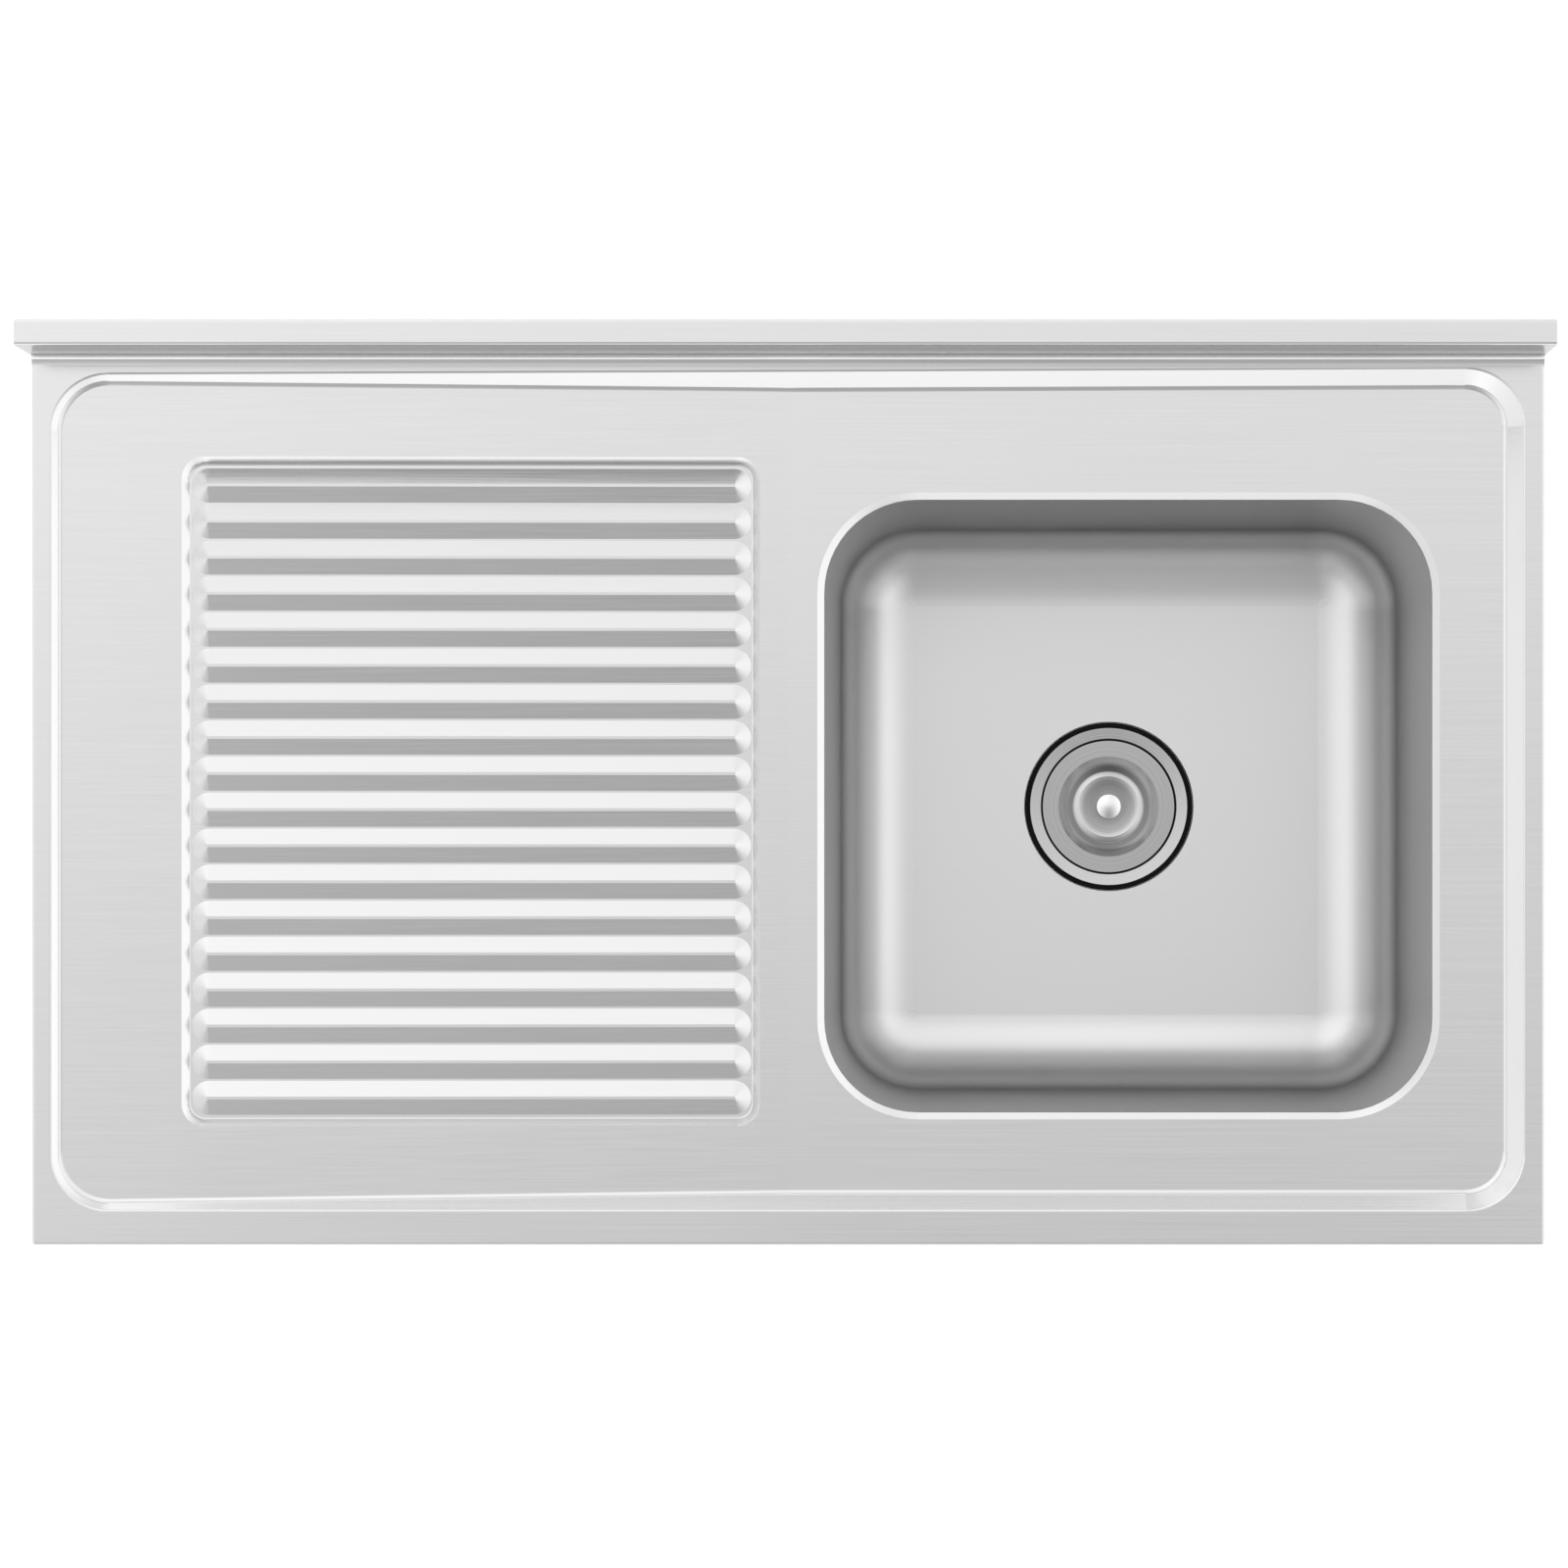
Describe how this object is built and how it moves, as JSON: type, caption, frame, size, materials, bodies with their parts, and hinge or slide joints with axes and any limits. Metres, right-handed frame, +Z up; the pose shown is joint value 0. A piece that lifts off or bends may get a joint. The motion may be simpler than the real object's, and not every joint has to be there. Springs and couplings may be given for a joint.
{
  "type": "stainless steel sink unit",
  "caption": "Free-standing stainless steel sink unit: ribbed drainer on the left, deep bowl with a basket strainer on the right, folded upstand at the rear, tubular stand on adjustable feet.",
  "frame": {"origin": "floor level under the centre of the worktop's 1000 by 605 mm outline", "axes": "+X to the user's right, from the drainer to the bowl; +Y to the rear, towards the wall; +Z up"},
  "size_m": [1, 0.605, 0.86],
  "materials": {
    "sheet_steel": "brushed",
    "polished_steel": "polished",
    "black_rubber": "matte",
    "washer_card": "matte",
    "nut_plastic": "satin",
    "damping_pad": "matte",
    "socket_steel": "satin",
    "screw_steel": "satin",
    "foot_plastic": "matte",
    "stem_steel": "satin"
  },
  "bodies": {
    "frame": {"worktop": "sheet_steel", "bowl": "sheet_steel", "channel_left": "sheet_steel", "channel_right": "sheet_steel", "channel_drainer": "sheet_steel", "side_rail_left": "sheet_steel", "side_rail_right": "sheet_steel", "rear_rail": "sheet_steel", "leg_front_left": "sheet_steel", "leg_front_right": "sheet_steel", "leg_rear_left": "sheet_steel", "leg_rear_right": "sheet_steel", "sound_pad": "damping_pad", "strainer_body": "polished_steel", "outlet_tube": "polished_steel", "flange_gasket": "black_rubber", "under_gasket": "black_rubber", "slip_washer": "washer_card", "lock_nut": "nut_plastic", "socket_screws": "screw_steel", "leg_socket_front_left": "socket_steel", "leg_socket_front_right": "socket_steel", "leg_socket_rear_left": "socket_steel", "leg_socket_rear_right": "socket_steel", "leg_insert_front_left": "foot_plastic", "leg_insert_front_right": "foot_plastic", "leg_insert_rear_left": "foot_plastic", "leg_insert_rear_right": "foot_plastic"},
    "basket": {"basket": "polished_steel", "basket_post": "polished_steel", "basket_stopper": "black_rubber"},
    "lid": {"lid": "polished_steel", "lid_knob": "polished_steel", "lid_screw": "polished_steel"},
    "stem_front_left": {"foot_stem_front_left": "stem_steel"},
    "pad_front_left": {"foot_pad_front_left": "foot_plastic"},
    "stem_front_right": {"foot_stem_front_right": "stem_steel"},
    "pad_front_right": {"foot_pad_front_right": "foot_plastic"},
    "stem_rear_left": {"foot_stem_rear_left": "stem_steel"},
    "pad_rear_left": {"foot_pad_rear_left": "foot_plastic"},
    "stem_rear_right": {"foot_stem_rear_right": "stem_steel"},
    "pad_rear_right": {"foot_pad_rear_right": "foot_plastic"}
  },
  "joints": [
    {"name": "basket_lift", "type": "slide", "parent": "frame", "child": "basket", "axis": [0, 0, 1], "range_m": [0, 0.15]},
    {"name": "lid_lift", "type": "slide", "parent": "basket", "child": "lid", "axis": [0, 0, 1], "range_m": [0, 0.12]},
    {"name": "foot_slide_front_left", "type": "slide", "parent": "frame", "child": "stem_front_left", "axis": [0, 0, -1], "range_m": [0, 0.02]},
    {"name": "pad_swivel_front_left", "type": "hinge", "parent": "stem_front_left", "child": "pad_front_left", "pos_m": [-0.4525, -0.2325, 0], "axis": [0, 0, 1], "continuous": true},
    {"name": "foot_slide_front_right", "type": "slide", "parent": "frame", "child": "stem_front_right", "axis": [0, 0, -1], "range_m": [0, 0.02]},
    {"name": "pad_swivel_front_right", "type": "hinge", "parent": "stem_front_right", "child": "pad_front_right", "pos_m": [0.4525, -0.2325, 0], "axis": [0, 0, 1], "continuous": true},
    {"name": "foot_slide_rear_left", "type": "slide", "parent": "frame", "child": "stem_rear_left", "axis": [0, 0, -1], "range_m": [0, 0.02]},
    {"name": "pad_swivel_rear_left", "type": "hinge", "parent": "stem_rear_left", "child": "pad_rear_left", "pos_m": [-0.4525, 0.2325, 0], "axis": [0, 0, 1], "continuous": true},
    {"name": "foot_slide_rear_right", "type": "slide", "parent": "frame", "child": "stem_rear_right", "axis": [0, 0, -1], "range_m": [0, 0.02]},
    {"name": "pad_swivel_rear_right", "type": "hinge", "parent": "stem_rear_right", "child": "pad_rear_right", "pos_m": [0.4525, 0.2325, 0], "axis": [0, 0, 1], "continuous": true}
  ]
}
